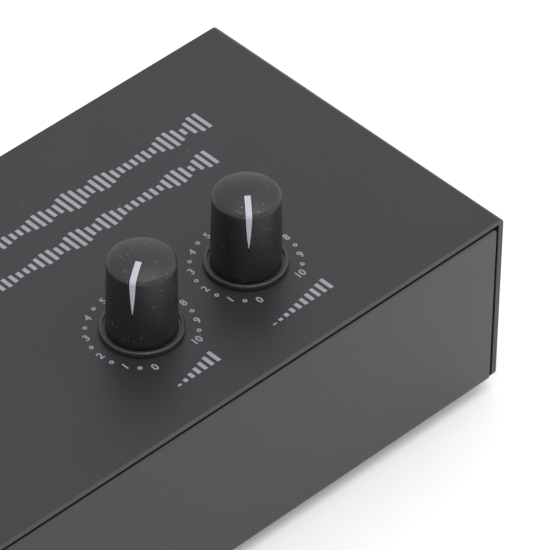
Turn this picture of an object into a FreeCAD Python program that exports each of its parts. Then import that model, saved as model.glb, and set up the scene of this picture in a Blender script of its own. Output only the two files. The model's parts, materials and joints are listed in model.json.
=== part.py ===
"""Phono preamp: a bent sheet-metal box with two knobs on top and its jacks at the rear.

Millimetres, +Z up, the front panel faces -Y and +X is to the right. The origin lies under the middle
of the whole object, on the surface that its feet stand on.
"""
import FreeCAD
import Part
import math
import os

V = FreeCAD.Vector
X = V(1, 0, 0)
Y = V(0, 1, 0)
Z = V(0, 0, 1)

# Driving dimensions of the case
case_width = 130.0
case_depth = 74.4
case_height = 39.3
sheet = 1.2
bend_inside = 0.2
seam = 0.55
panel_corner = 1.0
cover_corner = 1.5
cover_lift = 0.3
lip_height = 9.0
lip_setback = 3.0
lip_root = 4.0
foot_height = 2.6
foot_radius = 5.5
foot_taper = 0.7
foot_inset = 11.0
rear_reach = 11.0

# Clearances
fit = 0.05
slip = 0.1
gap = 0.3

# Screws that close the cover
screw_radius = 1.5
screw_head_radius = 2.8
screw_head_height = 1.8
screw_recess_width = 0.7
screw_recess_length = 3.2
screw_recess_depth = 0.9
cover_screw_length = 6.0
cover_screw_height = 5.4
cover_screw_inset = 16.0
cover_hole_radius = 1.75

# Circuit board and its posts
standoff_height = 5.0
standoff_across = 5.5
spigot_radius = 2.0
board_thickness = 1.6
board_side_gap = 7.0
board_front_gap = 6.0
board_rear_gap = 0.4
post_inset_x = 13.0
post_inset_front = 12.0
post_inset_rear = 19.0
board_screw_radius = 1.25
board_screw_head_radius = 2.4
board_screw_head_height = 1.5
board_screw_length = 5.6

# Dials
dial_spacing = 25.3
volume_from_right = 42.2
dials_from_front = 22.9
level_angle = 58.0
volume_angle = 40.0

# Knobs, heights from the top face of the cover
knob_lift = 0.3
flange_radius = 7.65
flange_height = 0.9
flange_floor = 0.45
flange_rim = 0.65
flange_edge = 0.35
grip_lower_radius = 6.5
grip_upper_radius = 6.2
grip_shoulder = 16.3
grip_top = 17.7
grip_edge = 1.1
core_radius = 4.6
core_top = 12.5
pointer_width = 1.15
pointer_start = 1.9
pointer_tip = 8.8
pointer_depth = 0.9
slot_width = 1.4
slot_tip = 7.9

# Potentiometers, heights from the top of the board
shaft_radius = 3.0
shaft_flat = 1.5
shaft_above_cover = 11.0
shaft_chamfer = 0.4
shaft_hole_radius = 5.0
pot_radius = 8.3
pot_wall = 0.5
pot_height = 8.0
wafer_thickness = 1.2
wiper_radius = 6.4
wiper_thickness = 1.6
wiper_hub_radius = 4.2
bushing_plate_radius = 6.0
bushing_plate = 1.0
bushing_radius = 3.5
bushing_height = 6.0
tab_half_width = 7.5
tab_reach = 12.4
pin_radius = 0.5
pin_head_radius = 0.9
pin_head_height = 0.5
pin_pitch = 5.0
pin_row = 10.6
pin_below_board = 1.5

# Phono jacks, stacked in pairs
input_from_left = 29.0
output_x = -14.0
jack_width = 10.6
jack_depth = 12.0
jack_below_cover = 2.1
jack_spacing = 14.0
jack_headroom = 6.0
jack_embed = 8.0
jack_reach = 9.3
collar_radius = 5.15
collar_proud = 0.8
shell_radius = 4.15
shell_shoulder = 0.35
shell_wall = 0.6
shell_chamfer = 0.3
insulator_recess = 0.5
contact_radius = 2.2
contact_bore = 1.65
contact_recess = 1.0

# Large output jack
phone_x = 10.0
phone_width = 16.0
phone_depth = 25.0
phone_height = 15.2
phone_axis_height = 7.6
phone_bore = 3.2
phone_chamber_radius = 3.6
phone_chamber_depth = 23.0
bush_radius = 5.4
bush_inset = 2.0
bush_reach = 3.6
phone_washer_radius = 8.0
phone_washer = 0.6
phone_nut_across = 14.0
phone_nut = 2.2
leaf_thickness = 0.35
leaf_height = 2.8
leaf_offset = 4.5
leaf_kink = 0.8
leaf_front = 4.5
leaf_length = 14.0
leaf_leg = 1.6

# Power inlet
dc_from_right = 31.0
dc_width = 9.0
dc_depth = 13.5
dc_height = 10.8
dc_axis_height = 6.4
dc_nose_radius = 4.2
dc_nose_proud = 0.4
dc_bore = 3.15
dc_bore_depth = 8.5
dc_pin_radius = 1.05
dc_pin_root = 2.0
dc_root_radius = 1.4
dc_pin_recess = 0.6
dc_leaf_width = 2.4
dc_leaf_length = 7.0
dc_leaf_drop = 3.5

# Power switch
switch_from_right = 13.0
switch_half_width = 4.9
switch_half_height = 7.6
switch_depth = 11.0
switch_wall = 0.8
switch_end_wall = 1.0
switch_cavity = 8.0
bezel_overlap = 1.1
bezel_thickness = 1.3
rocker_half_width = 3.8
rocker_tilt = 11.0
rocker_pivot_inset = 2.6
rocker_axle_radius = 0.9
rocker_axle_depth = 0.6
rocker_dip = 3.6
rocker_face = 4.9
rocker_half_height = 5.4
rocker_waist = 3.4
rocker_back = 2.8
rocker_back_half = 1.6
bridge_thickness = 0.4
bridge_half_height = 2.6
bridge_half_width = 2.0
terminal_clearance = 0.75
terminal_offset = 2.3
terminal_width = 2.4
terminal_thickness = 0.8

# Ground post
ground_from_left = 13.0
ground_axis_height = 9.0
bracket_half_width = 5.0
bracket_height = 15.0
bracket_foot = 8.0
bracket_thickness = 1.0
stud_radius = 1.95
stud_head_radius = 3.6
stud_head_height = 2.4
thumb_fit = 0.05
lock_nut_across = 7.0
lock_nut = 2.2
ground_washer_radius = 4.5
ground_washer = 0.8
thumb_radius = 4.8
thumb_length = 5.5
thumb_collar = 1.2
thumb_collar_radius = 4.0
thumb_chamfer = 0.5
flute_count = 20
flute_radius = 0.4

# Components on the board
capacitor_radius = 3.15
capacitor_height = 11.0
capacitor_pitch = 8.0
capacitor_columns = 3
capacitor_rows = 3
capacitor_edge = 0.6
capacitor_groove = 0.35
filter_radius = 5.0
filter_height = 16.0
filter_behind = 8.5
film_length = 7.2
film_width = 3.4
film_height = 9.0
film_pitch = 6.5
film_count = 3
film_from_level = 14.5
capacitor_film_gap = 1.5
capacitor_behind_post = 6.0
chip_length = 9.6
chip_width = 6.4
chip_height = 3.4
chip_lift = 0.6
chip_lead_pitch = 2.54
chip_leads = 4
chip_spacing = 18.0
chips_behind_dials = 20.0
chip_from_left = 25.0
resistor_radius = 1.2
resistor_length = 6.3
resistor_span = 10.0
resistor_lift = 0.3
resistor_pitch = 3.4
resistor_count = 6
lead_radius = 0.3
resistor_from_volume = 16.0
regulator_width = 10.0
regulator_thickness = 4.4
regulator_body = 9.0
regulator_tab = 6.2
regulator_tab_thickness = 1.3
regulator_leg = 3.4
regulator_behind = 15.0
component_margin = 7.0

# Levels and planes that follow from the sizes above
front_y = -(case_depth + rear_reach) / 2
rear_y = front_y + case_depth
rear_inside = rear_y - sheet
tray_z = foot_height
floor_z = tray_z + sheet
top_z = tray_z + case_height
cover_inside_z = top_z - sheet
panel_top = cover_inside_z - seam
side_inside = case_width / 2 - sheet
panel_half = side_inside - seam
bend_outside = sheet + bend_inside
board_z = floor_z + standoff_height
board_top = board_z + board_thickness
board_half = case_width / 2 - board_side_gap
board_front = front_y + board_front_gap
board_rear = rear_inside - board_rear_gap
dial_y = front_y + dials_from_front
volume_x = case_width / 2 - volume_from_right
level_x = volume_x - dial_spacing
film_x = level_x - film_from_level
ground_x = ground_from_left - case_width / 2
input_x = input_from_left - case_width / 2
dc_x = case_width / 2 - dc_from_right
switch_x = case_width / 2 - switch_from_right
jack_top = cover_inside_z - jack_below_cover
grip_base = top_z + knob_lift + flange_floor
screw_z = tray_z + cover_screw_height


def box(x_range, y_range, z_range):
    """Block between two limits along each axis."""
    low = V(x_range[0], y_range[0], z_range[0])
    return Part.makeBox(x_range[1] - x_range[0], y_range[1] - y_range[0], z_range[1] - z_range[0], low)


def rod(radius, start, end):
    """Round bar between two points."""
    run = end - start
    return Part.makeCylinder(radius, run.Length, start, run)


def tube(outer, inner, start, end):
    """Round tube between two points."""
    return rod(outer, start, end).cut(rod(inner, start, end))


def rounded_wire(corners, radii):
    """Closed outline through the corners, each rounded by its own radius, 0 for a sharp one."""
    turns = []
    count = len(corners)
    for index, corner in enumerate(corners):
        before = (corners[index - 1] - corner).normalize()
        after = (corners[(index + 1) % count] - corner).normalize()
        radius = radii[index]
        if radius <= 0:
            turns.append((corner, None, corner))
            continue
        half = before.getAngle(after) / 2
        reach = radius / math.tan(half)
        middle = corner + (before + after).normalize() * (radius / math.sin(half) - radius)
        turns.append((corner + before * reach, middle, corner + after * reach))
    edges = []
    for index, (start, middle, end) in enumerate(turns):
        if middle is not None:
            edges.append(Part.Arc(start, middle, end).toShape())
        following = turns[(index + 1) % count][0]
        if (following - end).Length > 1e-6:
            edges.append(Part.LineSegment(end, following).toShape())
    return Part.Wire(edges)


def slab(corners, radii, run):
    """Outline with rounded corners pushed along a vector."""
    return Part.Face(rounded_wire(corners, radii)).extrude(run)


def lathe(profile, radii=None):
    """Solid turned about Z from (radius, height) corners."""
    corners = [V(radius, 0, height) for radius, height in profile]
    face = Part.Face(rounded_wire(corners, radii or [0] * len(corners)))
    return face.revolve(V(0, 0, 0), Z, 360)


def placed(shape, seat, direction):
    """Copy of a shape made along +Z, with its origin at the seat and its +Z along the direction."""
    turned = shape.copy()
    turned.Placement = FreeCAD.Placement(seat, FreeCAD.Rotation(Z, direction))
    return turned


def hexagon(across, start, run):
    """Hexagonal bar with two flats up and down."""
    side = run.cross(X)
    if side.Length < 1e-6:
        side = run.cross(Z)
    side.normalize()
    up = side.cross(run).normalize()
    corners = []
    for step in range(6):
        angle = math.radians(60 * step)
        corners.append(start + (side * math.cos(angle) + up * math.sin(angle)) * (across / math.sqrt(3)))
    return slab(corners, [0] * 6, run)


def pan_screw(radius, length, head_radius, head_height, recess):
    """Cross-recessed screw on +Z: its head stands above 0 and its shank goes below."""
    crown = head_height * 0.35
    head = lathe([(0, 0), (head_radius, 0), (head_radius, head_height - crown), (head_radius * 0.6, head_height),
                  (0, head_height)])
    screw = head.fuse(rod(radius, V(0, 0, 0), V(0, 0, -length)))
    half = recess[0] / 2
    reach = recess[1] / 2
    bottom = head_height - recess[2]
    screw = screw.cut(box((-half, half), (-reach, reach), (bottom, head_height + gap)))
    return screw.cut(box((-reach, reach), (-half, half), (bottom, head_height + gap))).removeSplitter()


def group(shapes):
    """Several separate solids that share one node."""
    return Part.makeCompound(shapes)


def post_places():
    """Plan positions of the four board posts."""
    reach = case_width / 2 - post_inset_x
    rows = (front_y + post_inset_front, rear_y - post_inset_rear)
    return [(side * reach, y) for side in (-1, 1) for y in rows]


def cover_screw_places():
    """Side and Y of the four cover screws."""
    rows = (front_y + cover_screw_inset, rear_y - cover_screw_inset)
    return [(side, y) for side in (-1, 1) for y in rows]


def pin_places():
    """Plan positions of every potentiometer pin."""
    places = []
    for dial_x in (level_x, volume_x):
        places.extend(pot_pin_places(dial_x))
    return places


def pot_pin_places(dial_x):
    """Plan positions of one potentiometer's three pins."""
    return [(dial_x + step * pin_pitch, dial_y - pin_row) for step in (-1, 0, 1)]


def jack_axes(jack_x):
    """Points on the two axes of a stacked pair, at the rear panel's inner face, lower one first."""
    upper = jack_top - jack_headroom
    return [V(jack_x, rear_inside, upper - jack_spacing), V(jack_x, rear_inside, upper)]


def top_cover():
    """Cover bent from one sheet: the top face and both sides."""
    half = case_width / 2
    low = tray_z + cover_lift
    corners = [V(-half, front_y, low), V(-half, front_y, top_z), V(half, front_y, top_z), V(half, front_y, low),
               V(side_inside, front_y, low), V(side_inside, front_y, cover_inside_z),
               V(-side_inside, front_y, cover_inside_z), V(-side_inside, front_y, low)]
    bends = [0, bend_outside, bend_outside, 0, 0, bend_inside, bend_inside, 0]
    cover = slab(corners, bends, Y * case_depth)
    outline = [V(-half, front_y, low), V(-half, rear_y, low), V(-half, rear_y, top_z), V(-half, front_y, top_z)]
    cover = cover.common(slab(outline, [cover_corner, cover_corner, 0, 0], X * case_width))
    for dial_x in (level_x, volume_x):
        cover = cover.cut(rod(shaft_hole_radius, V(dial_x, dial_y, cover_inside_z), V(dial_x, dial_y, top_z)))
    for side, y in cover_screw_places():
        inner = V(side * side_inside, y, screw_z)
        cover = cover.cut(rod(cover_hole_radius, inner, V(side * half, y, screw_z)))
    return cover


def tray_blank():
    """Floor, front panel, rear panel and side lips, before any hole."""
    front_inside = front_y + sheet
    corners = [V(-panel_half, front_y, panel_top), V(-panel_half, front_y, tray_z), V(-panel_half, rear_y, tray_z),
               V(-panel_half, rear_y, panel_top), V(-panel_half, rear_inside, panel_top),
               V(-panel_half, rear_inside, floor_z), V(-panel_half, front_inside, floor_z),
               V(-panel_half, front_inside, panel_top)]
    bends = [0, bend_outside, bend_outside, 0, 0, bend_inside, bend_inside, 0]
    tray = slab(corners, bends, X * (2 * panel_half))
    outline = [V(-panel_half, front_y, tray_z), V(panel_half, front_y, tray_z), V(panel_half, front_y, panel_top),
               V(-panel_half, front_y, panel_top)]
    tray = tray.common(slab(outline, [0, 0, panel_corner, panel_corner], Y * case_depth))
    lip_top = tray_z + lip_height
    start = front_y + lip_setback
    for side in (-1, 1):
        outer = side * side_inside
        inner = side * (side_inside - sheet)
        root = side * (panel_half - lip_root)
        corners = [V(outer, start, lip_top), V(outer, start, tray_z), V(root, start, tray_z),
                   V(root, start, floor_z), V(inner, start, floor_z), V(inner, start, lip_top)]
        lip = slab(corners, [0, bend_outside, 0, 0, bend_inside, 0], Y * (case_depth - 2 * lip_setback))
        tray = tray.fuse(lip)
    return tray.removeSplitter()


def base_tray():
    """Tray with its lip holes, post holes and rear cut-outs."""
    tray = tray_blank()
    for side, y in cover_screw_places():
        outer = V(side * (side_inside + gap), y, screw_z)
        tray = tray.cut(rod(screw_radius + fit, outer, V(side * (side_inside - sheet - gap), y, screw_z)))
    for x, y in post_places():
        tray = tray.cut(rod(spigot_radius + fit, V(x, y, tray_z), V(x, y, floor_z)))
    rear_cuts = []
    for jack_x in (input_x, output_x):
        for axis in jack_axes(jack_x):
            rear_cuts.append(rod(collar_radius + slip, axis, axis + Y * sheet))
    phone = V(phone_x, rear_inside, board_top + phone_axis_height)
    rear_cuts.append(rod(bush_radius + slip, phone, phone + Y * sheet))
    inlet = V(dc_x, rear_inside, board_top + dc_axis_height)
    rear_cuts.append(rod(dc_nose_radius + slip, inlet, inlet + Y * sheet))
    ground = V(ground_x, rear_inside, board_top + ground_axis_height)
    rear_cuts.append(rod(stud_radius + slip, ground, ground + Y * sheet))
    half = switch_half_width + slip
    low = board_top - slip
    high = board_top + 2 * switch_half_height + slip
    rear_cuts.append(box((switch_x - half, switch_x + half), (rear_inside, rear_y), (low, high)))
    for cut in rear_cuts:
        tray = tray.cut(cut)
    return tray


def cover_screws():
    """Four screws through the cover's sides into the tray's lips."""
    recess = (screw_recess_width, screw_recess_length, screw_recess_depth)
    blank = pan_screw(screw_radius, cover_screw_length, screw_head_radius, screw_head_height, recess)
    return group([placed(blank, V(side * case_width / 2, y, screw_z), X * side) for side, y in cover_screw_places()])


def rubber_feet():
    """Four tapered feet glued under the floor."""
    foot = lathe([(0, 0), (foot_radius - foot_taper, 0), (foot_radius, foot_height), (0, foot_height)])
    reach = case_width / 2 - foot_inset
    feet = []
    for x in (-reach, reach):
        for y in (front_y + foot_inset, rear_y - foot_inset):
            feet.append(foot.translated(V(x, y, 0)))
    return group(feet)


def board_standoffs():
    """Hexagonal posts, each with a spigot pressed into the floor."""
    posts = []
    for x, y in post_places():
        post = hexagon(standoff_across, V(x, y, floor_z), Z * standoff_height)
        post = post.fuse(rod(spigot_radius, V(x, y, tray_z), V(x, y, floor_z)))
        bore = rod(board_screw_radius + fit, V(x, y, floor_z), V(x, y, board_z))
        posts.append(post.cut(bore))
    return group(posts)


def board_screws():
    """Screws through the board into the posts."""
    recess = (screw_recess_width, board_screw_head_radius * 1.2, screw_recess_depth)
    blank = pan_screw(board_screw_radius, board_screw_length, board_screw_head_radius, board_screw_head_height, recess)
    return group([blank.translated(V(x, y, board_top)) for x, y in post_places()])


def circuit_board():
    """Board with its screw holes and the holes for the potentiometer pins."""
    board = box((-board_half, board_half), (board_front, board_rear), (board_z, board_top))
    for x, y in post_places():
        board = board.cut(rod(board_screw_radius + slip, V(x, y, board_z), V(x, y, board_top)))
    for x, y in pin_places():
        board = board.cut(rod(pin_radius + fit, V(x, y, board_z), V(x, y, board_top)))
    return board


def knob_form(inset):
    """Outer form of the rubber grip, shrunk on all sides by the inset: a tapered side and a shallow dome."""
    base = grip_base
    lower = grip_lower_radius - inset
    upper = grip_upper_radius - inset
    shoulder = top_z + grip_shoulder - inset
    top = top_z + grip_top - inset
    rise = top - shoulder
    sphere = (upper ** 2 + rise ** 2) / (2 * rise)
    middle = top - sphere + math.sqrt(sphere ** 2 - (upper / 2) ** 2)
    edges = [Part.LineSegment(V(0, 0, base), V(lower, 0, base)).toShape(),
             Part.LineSegment(V(lower, 0, base), V(upper, 0, shoulder)).toShape(),
             Part.Arc(V(upper, 0, shoulder), V(upper / 2, 0, middle), V(0, 0, top)).toShape(),
             Part.LineSegment(V(0, 0, top), V(0, 0, base)).toShape()]
    form = Part.Face(Part.Wire(edges)).revolve(V(0, 0, 0), Z, 360)
    rim = [edge for edge in form.Edges if is_shoulder(edge, upper, shoulder)]
    return form.makeFillet(grip_edge, rim)


def is_shoulder(edge, radius, height):
    """True for the circle where the grip's side meets its dome."""
    if edge.Degenerated or not isinstance(edge.Curve, Part.Circle):
        return False
    circle = edge.Curve
    return abs(circle.Radius - radius) < 1e-4 and abs(circle.Center.z - height) < 1e-4


def pointer_blank(width, tip, start):
    """Leaf-shaped bar towards -Y: full width over the dome, drawn to a point down the side."""
    half = width / 2
    shoulder = top_z + grip_shoulder
    high = top_z + grip_top + gap
    bulge = tip * 0.5 + grip_shoulder * 0.5
    ends = [V(-half, -start, high), V(-half, -start, shoulder), V(0, -start, top_z + tip),
            V(half, -start, shoulder), V(half, -start, high)]
    edges = [Part.LineSegment(ends[0], ends[1]).toShape(),
             Part.Arc(ends[1], V(-half * 0.68, -start, top_z + bulge), ends[2]).toShape(),
             Part.Arc(ends[2], V(half * 0.68, -start, top_z + bulge), ends[3]).toShape(),
             Part.LineSegment(ends[3], ends[4]).toShape(),
             Part.LineSegment(ends[4], ends[0]).toShape()]
    return Part.Face(Part.Wire(edges)).extrude(Y * (start - flange_radius))


def d_bar(radius, flat, low, high):
    """Round bar with one flat, on the +Y side, along Z from one height to the other."""
    bar = rod(radius, V(0, 0, low), V(0, 0, high))
    return bar.cut(box((-radius, radius), (flat, radius + gap), (low, high)))


def knob_grip():
    """Rubber sleeve with the slot for the pointer."""
    slot = pointer_blank(slot_width, slot_tip, pointer_start - (slot_width - pointer_width) / 2)
    slot = slot.cut(knob_form(pointer_depth + fit))
    socket = rod(core_radius + fit, V(0, 0, grip_base), V(0, 0, top_z + core_top + fit))
    return knob_form(0).cut(socket).cut(slot)


def knob_pointer():
    """Pale insert that lies flush in the slot."""
    blank = pointer_blank(pointer_width, pointer_tip, pointer_start)
    return blank.common(knob_form(0)).cut(knob_form(pointer_depth))


def knob_core():
    """Flange with a raised rim, and the stem that holds the shaft."""
    low = top_z + knob_lift
    rim = flange_radius - flange_rim
    profile = [(0, low), (flange_radius, low), (flange_radius, low + flange_height), (rim, low + flange_height),
               (rim, grip_base), (core_radius, grip_base), (core_radius, top_z + core_top), (0, top_z + core_top)]
    core = lathe(profile, [0, 0, flange_edge, 0, 0, 0, 0, 0])
    bore_top = top_z + shaft_above_cover + gap
    return core.cut(d_bar(shaft_radius + fit, shaft_flat + fit, low, bore_top))


def pot_shaft():
    """Shaft from the wiper up through the bushing and the cover, with a flat inside the knob."""
    wiper_z = board_top + wafer_thickness + gap
    flat_z = top_z + knob_lift
    end = top_z + shaft_above_cover
    lower = rod(shaft_radius, V(0, 0, wiper_z), V(0, 0, flat_z))
    shaft = lower.fuse(d_bar(shaft_radius, shaft_flat, flat_z, end)).removeSplitter()
    tip = lathe([(0, end - shaft_radius), (shaft_radius + shaft_chamfer, end - shaft_radius),
                 (shaft_radius + shaft_chamfer, end - 2 * shaft_chamfer), (shaft_radius - shaft_chamfer, end),
                 (0, end)])
    body = rod(shaft_radius + shaft_chamfer, V(0, 0, wiper_z), V(0, 0, end - shaft_radius))
    return shaft.common(body.fuse(tip))


def pot_wiper():
    """Turning disc that carries the contact, keyed on the shaft."""
    low = board_top + wafer_thickness + gap
    middle = low + wiper_thickness
    high = board_top + pot_height - pot_wall - gap
    disc = lathe([(shaft_radius + fit, low), (wiper_radius, low), (wiper_radius, middle),
                  (wiper_hub_radius, middle), (wiper_hub_radius, high), (shaft_radius + fit, high)])
    return disc


def pot_can():
    """Metal can over the wafer and the wiper."""
    high = board_top + pot_height
    can = lathe([(pot_radius - pot_wall, board_top), (pot_radius, board_top), (pot_radius, high),
                 (shaft_radius + gap, high), (shaft_radius + gap, high - pot_wall),
                 (pot_radius - pot_wall, high - pot_wall)], [0, 0, pot_wall, 0, 0, 0])
    half = tab_half_width + slip
    notch = box((-half, half), (-pot_radius - gap, 0), (board_top, board_top + wafer_thickness + slip))
    return can.cut(notch)


def pot_bushing():
    """Threaded neck on a plate, on top of the can."""
    low = board_top + pot_height
    return lathe([(shaft_radius + fit, low), (bushing_plate_radius, low), (bushing_plate_radius, low + bushing_plate),
                  (bushing_radius, low + bushing_plate), (bushing_radius, low + bushing_height),
                  (shaft_radius + fit, low + bushing_height)])


def pot_wafer():
    """Track wafer with the tab that carries the pins, centred on the shaft."""
    high = board_top + wafer_thickness
    disc = rod(pot_radius - pot_wall - slip, V(0, 0, board_top), V(0, 0, high))
    wafer = disc.fuse(box((-tab_half_width, tab_half_width), (-tab_reach, 0), (board_top, high))).removeSplitter()
    for step in (-1, 0, 1):
        x = step * pin_pitch
        wafer = wafer.cut(rod(pin_radius + fit, V(x, -pin_row, board_top), V(x, -pin_row, high)))
    return wafer


def pot_pins():
    """Three riveted pins from the tab down through the board."""
    high = board_top + wafer_thickness
    pins = []
    for step in (-1, 0, 1):
        x = step * pin_pitch
        shank = rod(pin_radius, V(x, -pin_row, board_z - pin_below_board), V(x, -pin_row, high))
        head = rod(pin_head_radius, V(x, -pin_row, high), V(x, -pin_row, high + pin_head_height))
        pins.append(shank.fuse(head))
    return group(pins)


def dial_parts(name, dial_x, angle):
    """Knob and potentiometer of one dial; the pointer rests at the angle, clockwise from the front."""
    turning = {"knob_grip": knob_grip(), "knob_core": knob_core(), "knob_pointer": knob_pointer(),
               "pot_shaft": pot_shaft(), "pot_wiper": pot_wiper()}
    still = {"pot_can": pot_can(), "pot_bushing": pot_bushing(), "pot_wafer": pot_wafer(), "pot_pins": pot_pins()}
    parts = {}
    for piece, shape in turning.items():
        shape.rotate(V(0, 0, 0), Z, -angle)
        parts[name + "_" + piece] = shape.translated(V(dial_x, dial_y, 0))
    for piece, shape in still.items():
        parts[name + "_" + piece] = shape.translated(V(dial_x, dial_y, 0))
    return parts


def jack_housing(jack_x):
    """Moulded block behind the rear panel, with a collar through the panel round each shell."""
    half = jack_width / 2
    housing = box((jack_x - half, jack_x + half), (rear_inside - jack_depth, rear_inside), (board_top, jack_top))
    for axis in jack_axes(jack_x):
        housing = housing.fuse(rod(collar_radius, axis, axis + Y * (sheet + collar_proud)))
    for axis in jack_axes(jack_x):
        start = axis - Y * jack_embed
        bore = shell_radius + shell_shoulder + fit
        housing = housing.cut(rod(bore, start, axis + Y * (sheet + collar_proud)))
    return housing


def jack_shell(axis):
    """Plated barrel that the plug slides over, thicker inside its collar."""
    length = jack_embed + sheet + jack_reach
    shoulder = jack_embed + sheet + collar_proud
    inner = shell_radius - shell_wall
    root = shell_radius + shell_shoulder
    barrel = lathe([(inner, 0), (root, 0), (root, shoulder), (shell_radius, shoulder),
                    (shell_radius, length - shell_chamfer), (shell_radius - shell_chamfer, length), (inner, length)])
    return placed(barrel, axis - Y * jack_embed, Y)


def jack_insulator(axis):
    """Coloured plug between the barrel and the centre contact."""
    length = jack_embed + sheet + jack_reach - insulator_recess
    outer = shell_radius - shell_wall - fit
    lip = length - contact_recess
    plug = lathe([(contact_radius + fit, 0), (outer, 0), (outer, length), (contact_bore, length),
                  (contact_bore, lip), (contact_radius + fit, lip)])
    return placed(plug, axis - Y * jack_embed, Y)


def jack_contact(axis):
    """Centre tube that grips the plug's pin."""
    length = jack_embed + sheet + jack_reach - insulator_recess - contact_recess - fit
    return tube(contact_radius, contact_bore, axis - Y * jack_embed, axis + Y * (length - jack_embed))


def jack_parts(name, jack_x):
    """The five nodes of a stacked jack pair: the lower jack is red, the upper one white."""
    lower, upper = jack_axes(jack_x)
    return {name + "_housing": jack_housing(jack_x),
            name + "_shells": group([jack_shell(lower), jack_shell(upper)]),
            name + "_red_insulator": jack_insulator(lower),
            name + "_white_insulator": jack_insulator(upper),
            name + "_contacts": group([jack_contact(lower), jack_contact(upper)])}


def leaf_outline(side):
    """Plan of one sprung leaf: straight, with a kink towards the plug."""
    near = phone_x + side * leaf_offset
    far = near + side * leaf_thickness
    kink = side * leaf_kink
    end = rear_inside - leaf_front
    start = end - leaf_length
    peak = end - leaf_length / 3
    low = board_top + phone_axis_height - leaf_height / 2
    shoulder = leaf_length / 5
    return [V(near, start, low), V(near, peak - shoulder, low), V(near - kink, peak, low),
            V(near, peak + shoulder, low), V(near, end, low), V(far, end, low), V(far, peak + shoulder, low),
            V(far - kink, peak, low), V(far, peak - shoulder, low), V(far, start, low)]


def leaf_leg_box(side, slack):
    """Leg of one leaf down to the board, grown by the slack."""
    near = phone_x + side * leaf_offset
    far = near + side * leaf_thickness
    start = rear_inside - leaf_front - leaf_length
    low = min(near, far) - slack
    high = max(near, far) + slack
    middle = board_top + phone_axis_height
    return box((low, high), (start - slack, start + leaf_leg + slack), (board_top, middle))


def phone_jack_contacts():
    """Sprung leaves on both sides of the chamber, each with a leg to the board."""
    leaves = []
    for side in (-1, 1):
        outline = leaf_outline(side)
        leaf = slab(outline, [0] * len(outline), Z * leaf_height)
        leaves.append(leaf.fuse(leaf_leg_box(side, 0)).removeSplitter())
    return group(leaves)


def phone_jack_body():
    """Moulded box with the plug's chamber and a pocket for each leaf."""
    half = phone_width / 2
    axis = V(phone_x, rear_inside, board_top + phone_axis_height)
    body = box((phone_x - half, phone_x + half), (rear_inside - phone_depth, rear_inside),
               (board_top, board_top + phone_height))
    body = body.cut(rod(phone_chamber_radius, axis - Y * phone_chamber_depth, axis))
    body = body.cut(rod(bush_radius + fit, axis - Y * bush_inset, axis))
    end = rear_inside - leaf_front
    rows = (end - leaf_length - slip, end + slip)
    pocket_half = leaf_offset + leaf_thickness + slip
    levels = (axis.z - leaf_height / 2 - slip, axis.z + leaf_height / 2 + slip)
    body = body.cut(box((phone_x - pocket_half, phone_x + pocket_half), rows, levels))
    for side in (-1, 1):
        body = body.cut(leaf_leg_box(side, slip))
    return body


def phone_jack_bushing():
    """Threaded nose through the rear panel, which guides the plug."""
    axis = V(phone_x, rear_inside, board_top + phone_axis_height)
    return tube(bush_radius, phone_bore, axis - Y * bush_inset, axis + Y * (sheet + bush_reach))


def phone_jack_washer():
    """Washer between the nut and the rear panel."""
    axis = V(phone_x, rear_y, board_top + phone_axis_height)
    return tube(phone_washer_radius, bush_radius + fit, axis, axis + Y * phone_washer)


def phone_jack_nut():
    """Hexagonal nut on the nose."""
    seat = V(phone_x, rear_y + phone_washer, board_top + phone_axis_height)
    nut = hexagon(phone_nut_across, seat, Y * phone_nut)
    return nut.cut(rod(bush_radius + fit, seat, seat + Y * phone_nut))


def dc_axis():
    """Point on the power inlet's axis, at the rear panel's inner face."""
    return V(dc_x, rear_inside, board_top + dc_axis_height)


def dc_leaf_box(slack):
    """Contact leaf under the inlet's bore and its leg to the board, grown by the slack."""
    axis = dc_axis()
    half = dc_leaf_width / 2 + slack
    high = axis.z - dc_leaf_drop
    back = rear_inside - dc_bore_depth
    leaf = box((dc_x - half, dc_x + half), (back - slack, back + dc_leaf_length + slack),
               (high - leaf_thickness - slack, high + slack))
    leg = box((dc_x - half, dc_x + half), (back - slack, back + leaf_thickness + slack), (board_top, high + slack))
    return leaf.fuse(leg).removeSplitter()


def dc_inlet_body():
    """Moulded box with a round nose through the rear panel."""
    axis = dc_axis()
    half = dc_width / 2
    body = box((dc_x - half, dc_x + half), (rear_inside - dc_depth, rear_inside), (board_top, board_top + dc_height))
    nose_end = axis + Y * (sheet + dc_nose_proud)
    body = body.fuse(rod(dc_nose_radius, axis, nose_end))
    back = axis - Y * dc_bore_depth
    body = body.cut(rod(dc_bore, back, nose_end))
    body = body.cut(rod(dc_root_radius + fit, back - Y * dc_pin_root, back))
    window = box((dc_x - dc_leaf_width / 2 - slip, dc_x + dc_leaf_width / 2 + slip),
                 (back.y - slip, back.y + dc_leaf_length + slip), (axis.z - dc_leaf_drop, axis.z - dc_bore / 2))
    return body.cut(dc_leaf_box(slip)).cut(window)


def dc_inlet_pin():
    """Centre pin with a thicker root and a rounded tip."""
    axis = dc_axis()
    length = dc_pin_root + dc_bore_depth + sheet - dc_pin_recess
    pin = lathe([(0, 0), (dc_root_radius, 0), (dc_root_radius, dc_pin_root), (dc_pin_radius, dc_pin_root),
                 (dc_pin_radius, length), (0, length)], [0, 0, 0, 0, dc_pin_radius * 0.6, 0])
    return placed(pin, axis - Y * (dc_bore_depth + dc_pin_root), Y)


def switch_centre():
    """Pivot of the rocker."""
    return V(switch_x, rear_y - rocker_pivot_inset, board_top + switch_half_height)


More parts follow.
